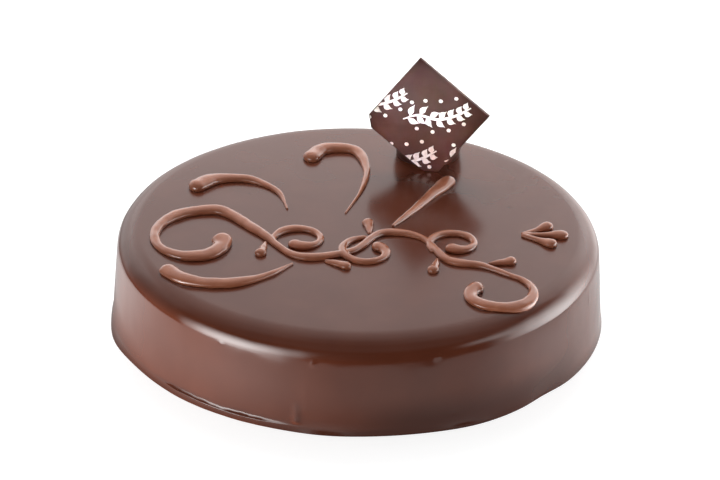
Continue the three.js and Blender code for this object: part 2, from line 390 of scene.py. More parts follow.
@dataclass(frozen=True)
class Glaze:
    """Poured chocolate glaze: dark, glossy and nearly smooth.

    It carries painted shade: its colour is darker low on the side that faces painted_shade_turn,
    and along the foot, where the wall gets less light. The spans of clouds are the noise's levels
    between which a colour or a roughness eases.
    """

    color: Color = (0.088, 0.022, 0.0105)
    pale: Color = (0.1, 0.026, 0.0128)
    pale_clouds: Span = (0.35, 0.7)
    roughness: Span = (0.08, 0.13)
    rough_clouds: Span = (0.3, 0.75)
    top_roughness: float = 0.1
    top_heights: Span = (40.5, 43.2)
    # painted shade: the colour darkens low on one side and along the foot
    painted_shade_share: float = 0.66
    painted_shade_heights: Span = (6.0, 19.0)
    painted_shade_turn: float = -58.0
    painted_shade_facing: Span = (0.8, 0.95)
    foot_painted_shade_share: float = 0.8
    foot_painted_shade_heights: Span = (0.8, 3.6)
    ior: float = 1.5
    cloud: float = 26.0
    ripple: float = 7.0
    ripple_depth: float = 0.012
    grain: float = 0.9
    grain_depth: float = 0.0012

    def material(self) -> bpy.types.Material:
        """Makes the finish.

        Returns:
            The Blender material.
        """
        shader = Shader(bpy.data.materials.new("poured_glaze"))
        clouds = shader.noise(self.cloud, detail=3)
        grain = (self.grain_depth / self.ripple_depth) * shader.noise(self.grain, detail=3)
        relief = shader.noise(self.ripple, detail=2) + grain
        height = (1 / MM) * shader.part(shader.place(), "Z")
        satin = height.eased(*self.top_heights, (0.0, self.top_roughness))
        flat = shader.vector("MULTIPLY", shader.place(), (1, 1, 0), output="Vector")
        outward = shader.vector("NORMALIZE", flat, output="Vector")
        facing = shader.vector("DOT_PRODUCT", outward, (*heading(self.painted_shade_turn), 0.0))
        # painted shade: darker low on one side and along the foot, where the wall gets less light
        painted_shade = facing.eased(*self.painted_shade_facing) * height.eased(*self.painted_shade_heights, (1.0, 0.0))
        painted_shade = painted_shade + height.eased(*self.foot_painted_shade_heights, (self.foot_painted_shade_share, 0.0))
        even = shader.mix(clouds.eased(*self.pale_clouds), self.color, self.pale)
        shaded_color = tuple(self.painted_shade_share * channel for channel in self.color)
        return shader.finished({
            "Base Color": shader.mix(painted_shade, even, shaded_color),
            "Roughness": clouds.eased(*self.rough_clouds, self.roughness) + satin,
            "IOR": self.ior,
            "Normal": shader.bump(relief, self.ripple_depth),
        })


@dataclass(frozen=True)
class Chocolate:
    """Chocolate that has set in the air: satin or softly glossy, with clouds and a fine grain."""

    name: str
    color: Color
    cloud_color: Color
    roughness: Span
    sheen: float = 0.5
    gloss: float = 0.0
    gloss_roughness: float = 0.06
    ior: float = 1.5
    color_clouds: Span = (0.4, 0.75)
    rough_clouds: Span = (0.3, 0.75)
    cloud: float = 9.0
    cloud_detail: float = 4
    grain: float = 0.7
    grain_depth: float = 0.01

    def material(self) -> bpy.types.Material:
        """Makes the finish.

        Returns:
            The Blender material.
        """
        shader = Shader(bpy.data.materials.new(self.name))
        clouds = shader.noise(self.cloud, self.cloud_detail)
        return shader.finished({
            "Base Color": shader.mix(clouds.eased(*self.color_clouds), self.color, self.cloud_color),
            "Roughness": clouds.eased(*self.rough_clouds, self.roughness),
            "IOR": self.ior,
            "Specular IOR Level": self.sheen,
            "Coat Weight": self.gloss,
            "Coat Roughness": self.gloss_roughness,
            "Normal": shader.bump(shader.noise(self.grain, detail=3), self.grain_depth),
        })


PIPED_MILK = Chocolate(
    "milk_chocolate",
    (0.29, 0.096, 0.049),
    (0.35, 0.124, 0.067),
    (0.12, 0.2),
    gloss=0.6,
    color_clouds=(0.3, 0.7),
    rough_clouds=(0.3, 0.7),
    cloud=6.0,
    cloud_detail=3,
    grain=1.3,
    grain_depth=0.006,
)
TEMPERED = Chocolate(
    "tempered_chocolate", (0.052, 0.0175, 0.0135), (0.064, 0.023, 0.0185), (0.45, 0.58), sheen=0.2
)
# Dark chocolate of the truffle: its own dark tone, made darker still as painted shade for its place behind
# the plaque
SHADED_DIPPED = Chocolate("shaded_dipped_chocolate", (0.03, 0.0095, 0.007), (0.038, 0.012, 0.009), (0.36, 0.5), sheen=0.2)


@dataclass(frozen=True)
class WhitePrint:
    """White cocoa butter print, a little thin in places."""

    color: Color = (0.93, 0.9, 0.88)
    thin: Color = (0.8, 0.74, 0.71)
    thin_patches: Span = (0.35, 0.6)
    roughness: float = 0.4
    patch: float = 1.6

    def material(self) -> bpy.types.Material:
        """Makes the finish.

        Returns:
            The Blender material.
        """
        shader = Shader(bpy.data.materials.new("white_print"))
        patches = shader.noise(self.patch, detail=3)
        color = shader.mix(patches.eased(*self.thin_patches), self.thin, self.color)
        return shader.finished({"Base Color": color, "Roughness": self.roughness})


def dress(piece: bpy.types.Object, material: bpy.types.Material, slot: str, *nodes: str) -> None:
    """Finishes a piece and reports it.

    Args:
        piece: the piece.
        material: its material.
        slot: not used.
        nodes: the CAD nodes that it stands for.
    """
    piece.data.materials.clear()
    piece.data.materials.append(material)
    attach(piece, BODY)
    if nodes:
        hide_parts(*nodes)
    triangles = sum(len(face.vertices) - 2 for face in piece.data.polygons)
    log.info("%s: %d triangles, for %s", piece.name, triangles, ", ".join(nodes) or "no node")


# ---- The glazed cake ----


def cake_axis() -> np.ndarray:
    """Where the cake's axis stands: in the middle of the upper half of its node.

    Returns:
        The axis's lowest point, in millimetres.
    """
    corners = np.array([v.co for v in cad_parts["glazed_cake"].data.vertices]) / MM
    upper = corners[corners[:, 2] > 0.5 * corners[:, 2].max()]
    middle = (upper.min(0) + upper.max(0)) / 2
    return np.array([middle[0], middle[1], 0.0])


@dataclass(frozen=True)
class FootLump:
    """A stretch of the foot where the glaze ran out, or stayed back."""

    at: float
    spread: float
    reach: float
    height: float


@dataclass(frozen=True)
class Drip:
    """A short run of glaze that set on the wall, with a drop at its lower end."""

    at: float
    top: float
    bottom: float
    width: float
    relief: float
    bottom_ease: Span = (-0.9, 0.6)
    top_ease: float = 6.0
    drop: float = 0.6
    drop_above: float = 1.0
    drop_spread: float = 1.4

    def stands(self, apart: np.ndarray, z: np.ndarray) -> np.ndarray:
        """How far it stands out.

        Args:
            apart: distance beside the drip's line.
            z: height.

        Returns:
            The relief for each distance and height.
        """
        low, high = self.bottom_ease
        along = smoothstep(self.bottom + low, self.bottom + high, z)
        along = along * (1.0 - smoothstep(self.top - self.top_ease, self.top, z))
        head = 1.0 + self.drop * bell(z - self.bottom - self.drop_above, self.drop_spread)
        return self.relief * along * head * bell(apart, self.width)


@dataclass(frozen=True)
class GlazedTorte:
    """The cake under its glaze: flat top, round edge, leaning wall and uneven foot.

    The lip is glaze that pooled along the foot: lip_keys say where and how far it stands out.
    Bubbles are given by angle, height and size, and ripples by their number round the cake, phase,
    share and slant. The last spans ease the relief in, by how far the surface faces outwards or by
    height.
    """

    height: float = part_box("glazed_cake")[1].z / MM
    base_radius: float = 109.7
    top_radius: float = 106.6
    edge_radius: float = 10.4
    foot_height: float = 6.0
    foot_reach: float = 0.4
    lip_height: float = 2.6
    lip_flare: float = 1.8
    lip_tuck: float = 0.85
    lip_keys: Keys = (
        (-176, 0), (-165, 0.1), (-150, 0.12), (-139, 0.15), (-133, 0.5), (-125, 0.6), (-117, 0.84),
        (-112, 0.62), (-108, 0.26), (-104, 0.1), (-100, 0), (8, 0), (22, 0.7), (41, 0.5), (52, 0),
        (96, 0), (112, 0.5), (137, 0.8), (150, 0),
    )
    lip_noise: Layers = ((13.0, 5.5, 1.0), (4.5, 1.7, 0.6))
    lip_unevenness: float = 0.55
    lip_limits: Span = (0.5, 1.3)
    crest_unevenness: float = 0.12
    lumps: tuple[FootLump, ...] = (
        FootLump(-163, 9, 1.6, 10),
        FootLump(-132, 14, 0.25, 6),
        FootLump(-97, 8, 0.6, 8),
        FootLump(-62, 10, 1.1, 16),
        FootLump(-42, 6, -1.3, 16),
        FootLump(24, 10, 0.9, 8),
        FootLump(71, 8, 1.2, 12),
        FootLump(128, 15, 0.8, 7),
    )
    drips: tuple[Drip, ...] = (
        Drip(-101.0, 24, 9, 1.6, 0.06),
        Drip(-103.0, 14, 4.0, 1.4, 0.5),
        Drip(-128.0, 20, 6, 2.2, 0.06),
        Drip(-20.0, 34, 26, 0.9, 0.1),
        Drip(62.0, 34, 24, 1.0, 0.12),
        Drip(110.0, 35, 28, 0.8, 0.1),
        Drip(171.0, 34, 22, 0.9, 0.12),
    )
    bubbles: tuple[tuple[float, float, float], ...] = (
        (-122.0, 32.7, 0.8), (-99.5, 32.0, 1.0), (-71.5, 34.6, 1.1), (-67.5, 7.0, 0.7), (-52.0, 14.0, 0.9),
        (-104.0, 6.5, 0.7), (-56.5, 17.0, 0.6), (35.0, 20.0, 0.8), (140.0, 12.0, 0.8),
    )
    bubble_rise: float = 0.3
    sway: float = 0.035
    ripples: tuple[tuple[int, float, float, float], ...] = (
        (7, 1.3, 1.0, 0.02), (23, 0.4, 0.4, 0.05), (41, 2.2, 0.26, 0.05), (67, 5.1, 0.14, 0.05),
    )
    top_noise: Layers = ((34.0, 3.7, 0.045), (11.0, 9.2, 0.0135))
    wall_noise: Layers = ((17.0, 2.9, 0.12), (7.5, 7.7, 0.036))
    wall_facing: Span = (0.15, 0.75)
    wall_start: Span = (0.5, 4.0)
    noise_facing: Span = (0.2, 0.9)
    noise_start: Span = (2.0, 7.0)
    lift_start: Span = (0.3, 1.0)
    sectors: int = 760
    base_rings: tuple[float, ...] = (60.0, 95.0, 106.0)
    foot_rows: int = 36
    foot_crowding: float = 1.3
    wall_rows: int = 26
    edge_rows: int = 26
    top_rows: int = 26
    axis: np.ndarray = field(default_factory=cake_axis)

    @property
    def lean(self) -> float:
        """Angle of the wall from upright, in radians."""
        return math.atan2(self.base_radius - self.top_radius, self.height)

    @property
    def edge_height(self) -> float:
        """Height of the centre of the round edge."""
        return self.height - self.edge_radius

    @property
    def flat_radius(self) -> float:
        """Radius at which the flat top ends."""
        return float(self.wall_radius(self.edge_height) - self.edge_radius / math.cos(self.lean))

    def wall_radius(self, z: np.ndarray | float) -> np.ndarray | float:
        """Radius of the wall at a height."""
        return self.base_radius - z * math.tan(self.lean)

    def top_height(self, radius: np.ndarray) -> np.ndarray:
        """Height of the top or the round edge at a distance from the axis."""
        beyond = np.clip(radius - self.flat_radius, 0.0, self.edge_radius)
        return self.edge_height + np.sqrt(self.edge_radius**2 - beyond**2)

    def _beside(self, angles: np.ndarray, at: float) -> np.ndarray:
        """Distances round the foot from one angle to others."""
        return np.radians(angle_apart(angles, at)) * self.base_radius

    def _section(self) -> np.ndarray:
        """Rows of the section from the base to the top.

        Returns:
            For each row its radius and height, and how far it faces outwards and up.
        """
        across, up = math.cos(self.lean), math.sin(self.lean)
        heights = list(self.foot_height * np.linspace(0, 1, self.foot_rows) ** self.foot_crowding)
        wall_top = self.edge_height + self.edge_radius * up
        heights += list(np.linspace(self.foot_height, wall_top, self.wall_rows + 1)[1:-1])
        rows = [(radius, 0.0, 0.0, -1.0) for radius in self.base_rings]
        rows += [(self.wall_radius(z), z, across, up) for z in heights]
        for turn in np.linspace(self.lean, math.pi / 2, self.edge_rows):
            cos, sin = math.cos(turn), math.sin(turn)
            radius = self.flat_radius + self.edge_radius * cos
            rows.append((radius, self.edge_height + self.edge_radius * sin, cos, sin))
        rings = np.linspace(self.flat_radius, 0, self.top_rows + 1)[1:-1]
        return np.array(rows + [(radius, self.height, 0.0, 1.0) for radius in rings])

    def foot_relief(self, angles: np.ndarray, z: np.ndarray) -> np.ndarray:
        """How far the foot stands out: a short flare, and a rounded lip where the glaze pooled.

        Args:
            angles: angles round the cake, in a row.
            z: heights, in a column.

        Returns:
            The relief for each height and angle.
        """
        flare = self.foot_reach * np.clip(1.0 - z / self.foot_height, 0.0, 1.0) ** 2
        for lump in self.lumps:
            swell = lump.reach * bell(angle_apart(angles, lump.at), lump.spread)
            flare = flare + swell * np.clip(1.0 - z / lump.height, 0.0, 1.0) ** 2
        turns = np.radians(angles)
        around = np.stack([np.cos(turns), np.sin(turns), np.zeros_like(turns)], -1)
        uneven = soft_noise(around * self.base_radius, self.lip_noise)
        fullness = np.clip(1.0 + self.lip_unevenness * uneven, *self.lip_limits)
        pooled = eased_keys(self.lip_keys, angles) * fullness
        crest = self.lip_height * (1.0 + self.crest_unevenness * uneven)
        above = np.clip(1.0 - (z - crest) / self.lip_flare, 0.0, 1.0) ** 2
        below = np.sqrt(1.0 - self.lip_tuck * np.clip(1.0 - z / crest, 0.0, 1.0) ** 2)
        return flare + pooled * np.where(z < crest, below, above)

    def wall_relief(self, angles: np.ndarray, z: np.ndarray) -> np.ndarray:
        """Ripples, drips and bubbles on the wall and the round edge.

        Args:
            angles: angles round the cake, in a row.
            z: heights, in a column.

        Returns:
            The relief for each height and angle.
        """
        relief = 0.0
        for count, phase, share, slant in self.ripples:
            relief = relief + self.sway * share * np.sin(count * np.radians(angles) + phase + slant * z)
        for drip in self.drips:
            relief = relief + drip.stands(self._beside(angles, drip.at), z)
        for at, height, size in self.bubbles:
            dome = bell(self._beside(angles, at), size) * bell(z - height, size)
            relief = relief + self.bubble_rise * size * dome
        return relief

    def build(self) -> bpy.types.Object:
        """Builds the cake as one closed mesh.

        Returns:
            The cake.
        """
        angles = np.arange(self.sectors)[None, :] * 360.0 / self.sectors - 180.0
        cos, sin = np.cos(np.radians(angles)), np.sin(np.radians(angles))
        radius, z, out, up = (column[:, None] for column in self._section().T)
        places = np.stack(np.broadcast_arrays(radius * cos, radius * sin, z), -1)
        rough = soft_noise(places, self.wall_noise)
        on_wall = smoothstep(*self.wall_facing, out) * smoothstep(*self.wall_start, z)
        relief = on_wall * self.wall_relief(angles, z)
        relief = relief + rough * smoothstep(*self.noise_facing, out) * smoothstep(*self.noise_start, z)
        sideways, upward = out > 0.01, up > 0.5
        relief = np.where(sideways, relief + self.foot_relief(angles, z), 0.0)
        relief = relief + np.where(upward, soft_noise(places, self.top_noise), 0.0)
        places[..., 0] += relief * out * cos
        places[..., 1] += relief * out * sin
        places[..., 2] += relief * np.maximum(up, 0.0) * smoothstep(*self.lift_start, z)
        points, faces = closed_rings(places, np.zeros(3), np.array([0.0, 0.0, self.height]))
        return mesh_object("poured_glaze", points + self.axis, faces)

    def dress(self) -> None:
        """Builds the cake and puts it in the place of its node."""
        dress(self.build(), Glaze().material(), "chocolate_glaze", "glazed_cake")


# ---- Piping ----


@dataclass(frozen=True)
class Spiral:
    """A flat spiral whose radius and angle both run evenly from start to end."""

    centre: Spot
    radii: Span
    angles: Span
    depth: float = 1.0
    steps: int = 16

    def points(self) -> np.ndarray:
        """Walks along the spiral.

        Returns:
            A flat point for its start and one for each step.
        """
        radius = np.linspace(*self.radii, self.steps + 1)
        angle = np.radians(np.linspace(*self.angles, self.steps + 1))
        x = self.centre[0] + radius * np.cos(angle)
        y = self.centre[1] + self.depth * radius * np.sin(angle)
        return np.stack([x, y], -1)


class Route:
    """One smooth flat curve, through points and spirals in turn."""

    look: float = 0.15  # how far ahead and behind a direction is taken

    def __init__(self, stops: Iterable[Spiral | Spot | np.ndarray], samples: int = 48) -> None:
        """Threads a centripetal Catmull-Rom curve through the stops.

        Args:
            stops: the points and spirals.
            samples: number of steps from each point to the next.
        """
        parts = [stop.points() if isinstance(stop, Spiral) else np.array([stop]) for stop in stops]
        knots = np.concatenate(parts).astype(float)
        padded = np.concatenate([[2 * knots[0] - knots[1]], knots, [2 * knots[-1] - knots[-2]]])
        pieces = [self._piece(padded[i : i + 4], samples) for i in range(len(knots) - 1)]
        self.line = np.concatenate([*pieces, knots[-1:]])
        steps = np.linalg.norm(np.diff(self.line, axis=0), axis=1)
        self.travel = np.concatenate([[0.0], np.cumsum(steps)])
        self.length = float(self.travel[-1])

    @staticmethod
    def _piece(knots: np.ndarray, samples: int) -> np.ndarray:
        """The curve from the second to the third of four knots.

        Args:
            knots: the four points.
            samples: number of steps.

        Returns:
            Points on the curve, without its last one.
        """
        before, first, last, after = knots
        gaps = np.maximum(np.linalg.norm(np.diff(knots, axis=0), axis=1) ** 0.5, 1e-6)
        start = (first - before) / gaps[0] - (last - before) / (gaps[0] + gaps[1])
        start = (start + (last - first) / gaps[1]) * gaps[1]
        end = (last - first) / gaps[1] - (after - first) / (gaps[1] + gaps[2])
        end = (end + (after - last) / gaps[2]) * gaps[1]
        t = np.linspace(0, 1, samples, endpoint=False)[:, None]
        hermite = (2 * t**3 - 3 * t**2 + 1) * first + (t**3 - 2 * t**2 + t) * start
        return hermite + (3 * t**2 - 2 * t**3) * last + (t**3 - t**2) * end

    def at(self, distance: np.ndarray | float) -> np.ndarray:
        """Points at distances along the curve."""
        return np.stack([np.interp(distance, self.travel, axis) for axis in self.line.T], -1)

    def along(self, distance: np.ndarray | float) -> np.ndarray:
        """Directions of the curve.

        Args:
            distance: distances along it.

        Returns:
            A unit direction for each distance.
        """
        ahead = self.at(np.minimum(distance + self.look, self.length))
        step = ahead - self.at(np.maximum(distance - self.look, 0.0))
        return step / np.linalg.norm(step, axis=-1, keepdims=True)


@dataclass(frozen=True)
class Bead:
    """How a bead of chocolate from the cone stands and sets.

    Its height follows from its width by rise_scale and rise_power. Under gives the points across
    its underside, as shares of its width, and cap_start where its round ends begin, in radians.
    The noises say how unsteady its width and height are, and steepest how far it may lean out
    over the cake's round edge. Voxel, settling and settle_rounds say how crossing strokes melt.
    """

    rise_scale: float = 0.88
    rise_power: float = 0.67
    thinnest: float = 0.02
    sides: int = 22
    under: tuple[float, ...] = (0.25, 0.0, -0.25)
    overhang: float = 24.0
    bedded: float = 0.2
    step: float = 0.55
    cap_rows: int = 9
    cap_start: float = 0.12
    width_noise: Layers = ((9.0, 0.0, 0.085), (3.6, 0.0, 0.0425))
    height_noise: Layers = ((7.0, 5.0, 0.119),)
    steepest: float = 0.97
    voxel: float = 0.3
    settling: float = 0.5
    settle_rounds: int = 6

    def outline(self) -> np.ndarray:
        """The section, over the bead and back under it.

        Returns:
            For each point the share of the width across and the share of the height above.
        """
        tuck = math.radians(self.overhang)
        turn = np.linspace(-tuck, math.pi + tuck, self.sides)
        low = math.sin(tuck)
        over = np.stack([-np.cos(turn) / 2, (np.sin(turn) + low) / (1 + low)], -1)
        return np.concatenate([over, [(share, 0.0) for share in self.under]])


@dataclass(frozen=True)
class Stroke:
    """One stroke of piping or print: its route and its width along it."""

    route: Route
    widths: Keys

    def _travel(self, bead: Bead) -> tuple[np.ndarray, np.ndarray]:
        """Where along the stroke its rings stand.

        Args:
            bead: how closely they stand.

        Returns:
            The distance of each, and the share to which the stroke's round end has opened there.
        """
        length = self.route.length
        first, last = self.widths[0][1] / 2, self.widths[-1][1] / 2
        cap = 1.0 - np.cos(np.linspace(bead.cap_start, math.pi / 2, bead.cap_rows))
        middle = np.arange(first, length - last, bead.step)
        travel = np.concatenate([first * cap, middle[1:], length - last * cap[::-1]])
        share = np.clip(np.minimum(travel / first, (length - travel) / last), 0.0, 1.0)
        return travel, np.sqrt(share * (2.0 - share))

    def skin(self, cake: GlazedTorte, bead: Bead, seed: float) -> Skin:
        """The closed skin of a piped stroke.

        Args:
            cake: what the stroke lies on.
            bead: how the chocolate stands.
            seed: makes this stroke's unevenness its own.

        Returns:
            The skin, about the cake's axis.
        """
        travel, opened = self._travel(bead)
        line = np.stack([travel, np.full_like(travel, seed), np.zeros_like(travel)], -1)
        pulse, swell = (
            1.0 + soft_noise(line, [(size, seed + shift, strength) for size, shift, strength in layers])
            for layers in (bead.width_noise, bead.height_noise)
        )
        width = eased_keys(self.widths, travel / self.route.length) * pulse * opened
        rise = bead.rise_scale * np.maximum(width, bead.thinnest) ** bead.rise_power * swell
        across, above = bead.outline().T[:, None, :]
        side = left_of(self.route.along(travel))[:, None, :]
        ground = self.route.at(travel)[:, None, :] + side * (across * width[:, None])[..., None]
        reach = np.linalg.norm(ground, axis=-1)
        slope = np.clip((reach - cake.flat_radius) / cake.edge_radius, 0.0, bead.steepest)
        # The lowest points of the section sink into the glaze.
        lift = np.where(above <= 1e-6, -bead.bedded, above * rise[:, None])
        outward = ground / reach[..., None] * (slope * lift)[..., None]
        height = cake.top_height(reach) + np.sqrt(1.0 - slope**2) * lift
        rings = np.concatenate([ground + outward, height[..., None]], -1)
        return closed_rings(rings, rings[0].mean(0), rings[-1].mean(0))


@dataclass(frozen=True)
class Leaf:
    """A stroke that lies by itself: a heavy drop drawn out to a fine tail."""

    name: str
    stops: tuple[Spot, ...]
    widths: Keys


@dataclass(frozen=True)
class Scrollwork:
    """The piped ornament: a running stem with tendrils, loose leaves, leaflets and a bud.

    Leaflets are given by their share of the stem's length and their side of it, and the bud's
    drops by direction and length. The seeds set the pieces and their strokes apart.
    """

    cake: GlazedTorte
    bead: Bead = Bead()
    stem_stops: tuple[Spiral | Spot, ...] = (
        Spiral((-69, -19), (7.5, 27), (20, -285), 1.08),
        (-44, -10),
        (-25, -33),
        (-3, -27),
        (11, -9),
        (27, -12),
        (40, -34),
        (54, -38),
        Spiral((58, -63), (20, 7), (68, -235), 0.92),
    )
    stem_widths: Keys = (
        (0, 9.4), (0.05, 7.6), (0.13, 4.4), (0.25, 6.4), (0.34, 5.4), (0.42, 3.4), (0.47, 4.8),
        (0.54, 3.6), (0.6, 4.4), (0.65, 3.2), (0.72, 4.4), (0.8, 2.6), (0.89, 5.2), (0.96, 6), (1, 7.4),
    )
    tendrils: tuple[Spiral, ...] = (
        Spiral((-25, -17), (13, 4.8), (205, -150)),
        Spiral((5, -27), (14, 4.8), (95, 440)),
        Spiral((43, -18), (12.5, 4.8), (215, -140)),
    )
    tendril_widths: Keys = ((0, 2.4), (0.3, 4.2), (0.7, 3.4), (1, 6.4))
    leaves: tuple[Leaf, ...] = (
        Leaf(
            "left",
            ((-76, 30), (-66, 40), (-50, 41), (-37, 30), (-32, 13)),
            ((0, 8.4), (0.12, 8.8), (0.35, 5.4), (0.7, 3), (1, 1)),
        ),
        Leaf(
            "hook",
            ((-24, 62), (-17, 74), (-3, 74), (3, 56), (1, 34), (-6, 10)),
            ((0, 8), (0.1, 8.2), (0.3, 5.8), (0.6, 3), (0.85, 1.4), (1, 0.9)),
        ),
        Leaf(
            "tall",
            ((42, 46), (33, 30), (24, 13), (15, -2)),
            ((0, 6.8), (0.12, 7.2), (0.5, 4.8), (0.85, 2.8), (1, 1.6)),
        ),
        Leaf(
            "low",
            ((-84, -46), (-73, -57), (-55, -59), (-39, -51), (-28, -39)),
            ((0, 7.4), (0.15, 8), (0.5, 5.8), (0.8, 3), (1, 1.2)),
        ),
    )
    leaflets: tuple[tuple[float, int], ...] = ((0.394, -1), (0.481, -1), (0.575, 1), (0.701, -1), (0.76, 1))
    leaflet_length: float = 12.0
    leaflet_widths: Keys = ((0, 1.6), (0.5, 3.64), (0.85, 5.2), (1, 5.2))
    leaflet_clear: float = 1.1
    leaflet_spread: float = 38.0
    leaflet_bend: float = 1.4
    bud_centre: Spot = (72, -8)
    bud_drops: tuple[Span, ...] = ((-33, 18), (0, 21), (34, 17))
    bud_widths: Keys = ((0, 2.4), (0.45, 2.8), (0.85, 5.8), (1, 5.8))
    first_seed: float = 11.0
    piece_seeds: float = 7.1
    stroke_seeds: float = 2.3

    def leaflet(self, stem: Route, share: float, side: int) -> Stroke:
        """A drop that starts beside the stem and swells away from it.

        Args:
            stem: the stem's route.
            share: the share of its length at which the drop starts.
            side: 1 for the stem's left side and -1 for its right side.

        Returns:
            The drop's stroke.
        """
        root = stem.at(share * stem.length)
        along = stem.along(share * stem.length)
        clear = float(eased_keys(self.stem_widths, share)) / 2 + self.leaflet_clear
        cos, sin = heading(self.leaflet_spread) * self.leaflet_length
        stops = []
        for part in (0.0, 0.5, 1.0):
            beside = clear + part * sin + self.leaflet_bend * part**2
            stops.append(root + side * left_of(along) * beside + along * part * cos)
        return Stroke(Route(stops), self.leaflet_widths)

    def bud(self) -> list[Stroke]:
        """Three short drops that fan out from one point.

        Returns:
            A stroke for each drop.
        """
        drops = []
        for turn, length in self.bud_drops:
            stops = [self.bud_centre + heading(turn) * length * part for part in (0.0, 0.5, 1.0)]
            drops.append(Stroke(Route(stops), self.bud_widths))
        return drops

    def strokes(self) -> dict[str, list[Stroke]]:
        """Lays out the whole ornament.

        Returns:
            The strokes of each piece, by its name.
        """
        stem = Route(self.stem_stops)
        tendrils = [Stroke(Route([shape]), self.tendril_widths) for shape in self.tendrils]
        strokes = {"stem": [Stroke(stem, self.stem_widths), *tendrils], "bud": self.bud()}
        for leaf in self.leaves:
            strokes[f"leaf_{leaf.name}"] = [Stroke(Route(leaf.stops), leaf.widths)]
        for number, (share, side) in enumerate(self.leaflets, 1):
            strokes[f"leaflet_{number}"] = [self.leaflet(stem, share, side)]
        return strokes

    def _melt(self, piece: bpy.types.Object) -> None:
        """Melts crossing strokes into one skin.

        Args:
            piece: the piece they make up.
        """
        remesh = piece.modifiers.new("melt", "REMESH")
        remesh.mode = "VOXEL"
        remesh.voxel_size = self.bead.voxel * MM
        remesh.use_smooth_shade = True
        smooth = piece.modifiers.new("settle", "SMOOTH")
        smooth.factor = self.bead.settling
        smooth.iterations = self.bead.settle_rounds
        melted = piece.evaluated_get(bpy.context.evaluated_depsgraph_get())
        mesh = bpy.data.meshes.new_from_object(melted)
        piece.modifiers.clear()
        piece.data = mesh
        mesh.shade_smooth()

    def dress(self) -> None:
        """Builds every piped piece and puts it in the place of its node."""
        milk = PIPED_MILK.material()
        for i, (name, strokes) in enumerate(self.strokes().items()):
            seed = self.first_seed + self.piece_seeds * i
            skins = [
                stroke.skin(self.cake, self.bead, seed + self.stroke_seeds * j)
                for j, stroke in enumerate(strokes)
            ]
            points, faces = joined(skins)
            piece = mesh_object(f"scroll_{name}", points + self.cake.axis, faces)
            if len(strokes) > 1:
                self._melt(piece)
            dress(piece, milk, "milk_chocolate", f"piped_{name}")


# ---- The plaque ----


@dataclass(frozen=True)
class Sprig:
    """A small printed motif: a bowed twig with pairs of leaves, and berries.

    Each leaf is shorter than the one before by a share of the first, and those on the left of the
    twig start a little further along it.
    """

    twig: tuple[Spot, ...] = ((-15.5, -4.6), (-9.0, -1.4), (0.0, -1.8), (8.0, 1.6), (14.5, 6.8))
    twig_widths: Keys = ((0, 0.5625), (0.3, 1.25), (0.8, 1.25), (1, 0.5625))
    leaf_places: tuple[float, ...] = (0.08, 0.22, 0.36, 0.5, 0.64, 0.78, 0.9)
    leaf_length: float = 6.4
    leaf_shorter: float = 0.06
    leaf_widths: Keys = ((0, 0.3), (0.45, 2.8), (1, 0.15))
    leaf_turn: float = 46.0
    leaf_bow: float = 0.5
    leaf_stagger: float = 0.02
    berries: tuple[Spot, ...] = (
        (-12.6, 4.2), (-6.6, 6.2), (0.4, 7.4), (7.2, 10.0),
        (-8.6, -8.0), (-1.2, -8.2), (6.0, -6.0), (12.4, -1.6),
    )
    berry_size: float = 1.9
    berry_widths: Keys = ((0, 0.3), (0.25, 1.653), (0.75, 1.653), (1, 0.3))

    def strokes(self) -> list[Stroke]:
        """Lays out the motif.

        Returns:
            The strokes of its twig, its leaves and its berries.
        """
        twig = Route(self.twig)
        made = [Stroke(twig, self.twig_widths)]
        for i, share in enumerate(self.leaf_places):
            for side in (1, -1):
                root = twig.at((share + self.leaf_stagger * side) * twig.length)
                way = turned(twig.along(share * twig.length), self.leaf_turn * side)
                bow = left_of(way) * self.leaf_bow * side
                reach = way * self.leaf_length * (1.0 - self.leaf_shorter * i)
                made.append(Stroke(Route([root, root + reach / 2 + bow, root + reach]), self.leaf_widths))
        half = self.berry_size / 2
        for x, y in self.berries:
            made.append(Stroke(Route([(x - half, y), (x, y), (x + half, y)]), self.berry_widths))
        return made


def away_from(middle: np.ndarray, line: np.ndarray) -> np.ndarray:
    """Unit directions from a middle to each point of a line."""
    out = line - middle
    return out / np.linalg.norm(out, axis=1, keepdims=True)


